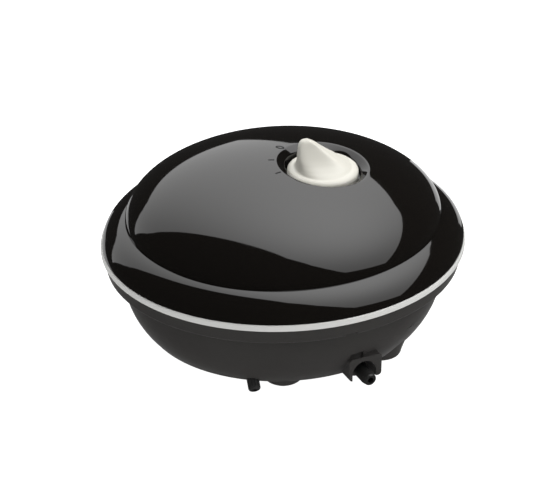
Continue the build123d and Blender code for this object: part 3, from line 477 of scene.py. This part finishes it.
FINISHES = {
    "cover_gloss": dict(rough=0.045, spread=0.015, grain=1400.0, bump=0.015, depth=0.00001, change=0.03),
    "housing_matte": dict(rough=0.52, spread=0.05, grain=1700.0, bump=0.35, depth=0.00004, change=0.05,
                          sheen=0.16),
    "trim_silver": dict(rough=0.38, spread=0.05, grain=2600.0, bump=0.15, depth=0.00001, change=0.02),
    "knob_white": dict(rough=0.42, spread=0.05, grain=1500.0, bump=0.08, depth=0.00002, change=0.01),
    "scale_grey": dict(rough=0.6, specular=0.15),
    "nozzle_black": dict(rough=0.34, grain=1600.0, bump=0.12, depth=0.00002),
    "rubber_black": dict(rough=0.7, grain=1100.0, bump=0.3, depth=0.00004),
    "rubber_grey": dict(rough=0.72, grain=1100.0, bump=0.3, depth=0.00004),
    "hose_clear": dict(rough=0.3, change=0.03),
    "screw_steel": dict(rough=0.32, metal=1.0, grain=2400.0, bump=0.12),
    "sheet_steel": dict(rough=0.36, metal=1.0, grain=2000.0, bump=0.15),
    "core_steel": dict(rough=0.48, metal=1.0, grain=1200.0, bump=0.25, change=0.2),
    "magnet_dark": dict(rough=0.6, metal=0.6, grain=1800.0, bump=0.35, change=0.15),
    "winding_copper": dict(rough=0.3, metal=1.0, grain=600.0, bump=0.2),
    "nylon_white": dict(rough=0.45, change=0.03),
    "chassis_grey": dict(rough=0.55, grain=1500.0, bump=0.25),
    "head_grey": dict(rough=0.5, grain=1500.0, bump=0.25),
    "board_green": dict(rough=0.25, coat=0.3, change=0.15),
    "component_black": dict(rough=0.45),
    "component_yellow": dict(rough=0.35),
    "component_tan": dict(rough=0.4, change=0.15),
    "terminal_green": dict(rough=0.4),
    "lead_insulation": dict(rough=0.4),
    "felt_white": dict(rough=0.9, grain=700.0, bump=0.8, depth=0.0003, change=0.08),
}

materials = {slot: surface(slot, COLORS[slot], **finish) for slot, finish in FINISHES.items()}


def paint(piece, slot):
    """Gives a remade piece the material of its slot."""
    piece.data.materials.clear()
    piece.data.materials.append(materials[slot])


for part in frame["record"]["subparts"]:
    node, material = frame["nodes"][part["node"]], materials[part["material_slot"]]
    if not node.material_slots:
        node.data.materials.append(material)
    for slot in node.material_slots:
        slot.material = material

paint(cover(), "cover_gloss")
paint(trim_ring(), "trim_silver")
paint(knob(), "knob_white")
for mark in scale_marks():
    paint(mark, "scale_grey")


# ---------------------------------------------------------------- floor, light and camera
AIM = Vector((0, 0, 0.034))
LAMP_DISTANCE, CARD_Z = 2.0, 1
VIEW_FROM, VIEW_ROLL, VIEW_DISTANCE = (-26.5, 30.0), math.radians(-0.5), 1.1
VIEW_SHIFT = (0.0021, 0.0034)  # how far the view's middle lies to the left of AIM and below it


def glowing(name, color, strength):
    """A dull surface of one colour that also glows with it."""
    material, _, shader = new_material(name)
    shader.inputs["Base Color"].default_value = (*color, 1)
    shader.inputs["Roughness"].default_value = 0.9
    shader.inputs["Emission Color"].default_value = (*color, 1)
    shader.inputs["Emission Strength"].default_value = strength
    return material


def floor():
    """A plain pale floor, bright enough to hide the shadow, and not mirrored in the gloss."""
    half, pale, glow = 30.0, (0.35, 0.35, 0.35), 2.95
    corners = [(-half, -half, 0), (half, -half, 0), (half, half, 0), (-half, half, 0)]
    mesh = bpy.data.meshes.new("floor")
    mesh.from_pydata(corners, [], [(0, 1, 2, 3)])
    piece = bpy.data.objects.new("floor", mesh)
    bpy.context.scene.collection.objects.link(piece)
    mesh.materials.append(glowing("floor_pale", pale, glow))
    piece.visible_glossy = False


def soft_light(name, away, long_axis, half_span, radiance):
    """A square lamp that stands LAMP_DISTANCE away, lights the pump and isn't mirrored in it."""
    lamp = bpy.data.lights.new(name, "AREA")
    lamp.shape = "RECTANGLE"
    lamp.size = lamp.size_y = 2 * half_span * LAMP_DISTANCE
    lamp.energy = radiance * math.pi * lamp.size * lamp.size_y
    holder = bpy.data.objects.new(name, lamp)
    wide = Vector(long_axis).cross(away).normalized()
    holder.matrix_world = matrix_of(wide, away.cross(wide), away, AIM + away * LAMP_DISTANCE)
    holder.visible_glossy = False
    bpy.context.scene.collection.objects.link(holder)


def lamp_sheet(name, points, faces, strengths):
    """A glowing sheet that lights and is mirrored in the gloss, but isn't seen by the camera itself."""
    mesh = bpy.data.meshes.new(name)
    mesh.from_pydata(points, [], faces)
    glow = mesh.attributes.new("glow", "FLOAT", "POINT")
    glow.data.foreach_set("value", strengths)
    material = bpy.data.materials.new(name)
    material.use_nodes = True
    tree = material.node_tree
    tree.nodes.clear()
    source = tree.nodes.new("ShaderNodeAttribute")
    source.attribute_name = "glow"
    shine = tree.nodes.new("ShaderNodeEmission")
    result = tree.nodes.new("ShaderNodeOutputMaterial")
    tree.links.new(source.outputs["Fac"], shine.inputs["Strength"])
    tree.links.new(shine.outputs["Emission"], result.inputs["Surface"])
    mesh.materials.append(material)
    piece = bpy.data.objects.new(name, mesh)
    bpy.context.scene.collection.objects.link(piece)
    piece.visible_camera = False
    piece.visible_shadow = False


def line_value(points, x):
    """A straight-line value through points sorted by x."""
    for (x0, y0), (x1, y1) in zip(points, points[1:]):
        if x <= x1:
            return y0 + (y1 - y0) * max(0.0, (x - x0) / (x1 - x0))
    return points[-1][1]


# the soft box: its edges as (roll, lean) in degrees, and its brightest place with its spread and strengths
BOX_LEFT = ((-75, 14), (-65, 23), (-55, 30), (-46, 33), (-29, 34), (-9, 33), (10, 32), (50, 31), (60, 28),
            (72, 24), (84, 17), (96, 8), (104, 0))
BOX_RIGHT = ((-75, 13), (-66, 13), (-56, 12), (-48, 9), (-43, 4), (-41, -8), (-40, -28), (0, -28.5),
             (20, -28.5), (30, -30), (104, -30))
BOX_RADIUS, BOX_ROWS, BOX_ROW_STEP, BOX_COLUMNS = 1.6, 120, 1.5, 12
BRIGHT_AT, BRIGHT_SPREAD = (30, 2), (32, 24)
DIM, EXTRA = 1.35, 2.35


def soft_box():
    """One long curved soft box, from low behind the pump, over it and down to the front.

    A roll of 0 degrees points steeply up and back, and one of 90 to the front. A lean is sideways off it.
    """
    back, front = Vector((0.228, 0.539, 0.811)), Vector((0.405, -0.81, 0.425))
    sideways = front.cross(back)
    points, strengths = [], []
    for i in range(BOX_ROWS):
        roll = BOX_LEFT[0][0] + BOX_ROW_STEP * i
        for j in range(BOX_COLUMNS + 1):
            lean = blend_between(line_value(BOX_RIGHT, roll), line_value(BOX_LEFT, roll), j / BOX_COLUMNS)
            r, side = math.radians(roll), math.radians(lean)
            way = (back * math.cos(r) + front * math.sin(r)) * math.cos(side) + sideways * math.sin(side)
            points.append(AIM + way * BOX_RADIUS)
            far = [(value - at) / spread for value, at, spread in zip((roll, lean), BRIGHT_AT, BRIGHT_SPREAD)]
            strengths.append(DIM + EXTRA * math.exp(-(far[0] ** 2 + far[1] ** 2) / 2))
    row = BOX_COLUMNS + 1
    faces = [(i * row + j, i * row + j + 1, (i + 1) * row + j + 1, (i + 1) * row + j)
             for i in range(BOX_ROWS - 1) for j in range(BOX_COLUMNS)]
    lamp_sheet("soft_box", points, faces, strengths)


def floor_card(name, corners, strength):
    """A glowing card that lies just above the floor beside the pump, its corners in millimetres."""
    points = [(x * MM, y * MM, CARD_Z * MM) for x, y in corners]
    lamp_sheet(name, points, [tuple(range(len(points)))], [strength] * len(points))


def matrix_of(x, y, z, place):
    """The placing of an object whose own axes point along x, y and z."""
    turned = Matrix((x, y, z)).transposed().to_4x4()
    turned.translation = place
    return turned


def facing(azimuth, elevation):
    """The direction from the pump to a place seen at this azimuth and elevation."""
    a, e = math.radians(azimuth), math.radians(elevation)
    return Vector((math.sin(a) * math.cos(e), -math.cos(a) * math.cos(e), math.sin(e)))


def camera():
    """A long lens, a little rolled, that looks down at the front and the left side."""
    azimuth, elevation = VIEW_FROM
    data = bpy.data.cameras.new("camera")
    data.lens, data.sensor_width = 202.7, 36.0
    holder = bpy.data.objects.new("camera", data)
    back = facing(azimuth, elevation)
    level = Vector((math.cos(math.radians(azimuth)), math.sin(math.radians(azimuth)), 0))
    upright = back.cross(level)
    right = level * math.cos(VIEW_ROLL) - upright * math.sin(VIEW_ROLL)
    up = upright * math.cos(VIEW_ROLL) + level * math.sin(VIEW_ROLL)
    middle = AIM - level * VIEW_SHIFT[0] - upright * VIEW_SHIFT[1]
    holder.matrix_world = matrix_of(right, up, back, middle + back * VIEW_DISTANCE)
    bpy.context.scene.collection.objects.link(holder)
    bpy.context.scene.camera = holder


def world():
    """White behind the pump, and near-dark for everything but the camera."""
    sky = bpy.data.worlds.new("studio")
    bpy.context.scene.world = sky
    sky.use_nodes = True
    tree = sky.node_tree
    background = tree.nodes["Background"]
    path = tree.nodes.new("ShaderNodeLightPath")
    mix = tree.nodes.new("ShaderNodeMix")
    mix.data_type = "RGBA"
    mix.inputs["A"].default_value = (0.03, 0.03, 0.03, 1)
    mix.inputs["B"].default_value = (1, 1, 1, 1)
    tree.links.new(path.outputs["Is Camera Ray"], mix.inputs["Factor"])
    tree.links.new(mix.outputs["Result"], background.inputs["Color"])


camera()
world()
floor()
soft_box()
floor_card("card_left", ((-88, 48), (-28, 60), (-28, 215), (-88, 215)), 0.7)
floor_card("card_right", ((92, 40), (165, 50), (420, 200), (420, 260), (250, 240), (110, 95)), 1.0)
soft_light("front_fill", facing(-20, 15), (1, 0, 0), half_span=0.5, radiance=0.45)
soft_light("left_fill", facing(-75, 25), (0, 1, 0), half_span=0.4, radiance=1.1)
soft_light("right_fill", facing(60, 20), (0, 1, 0), half_span=0.4, radiance=0.8)

bpy.context.scene.view_settings.view_transform = "Standard"
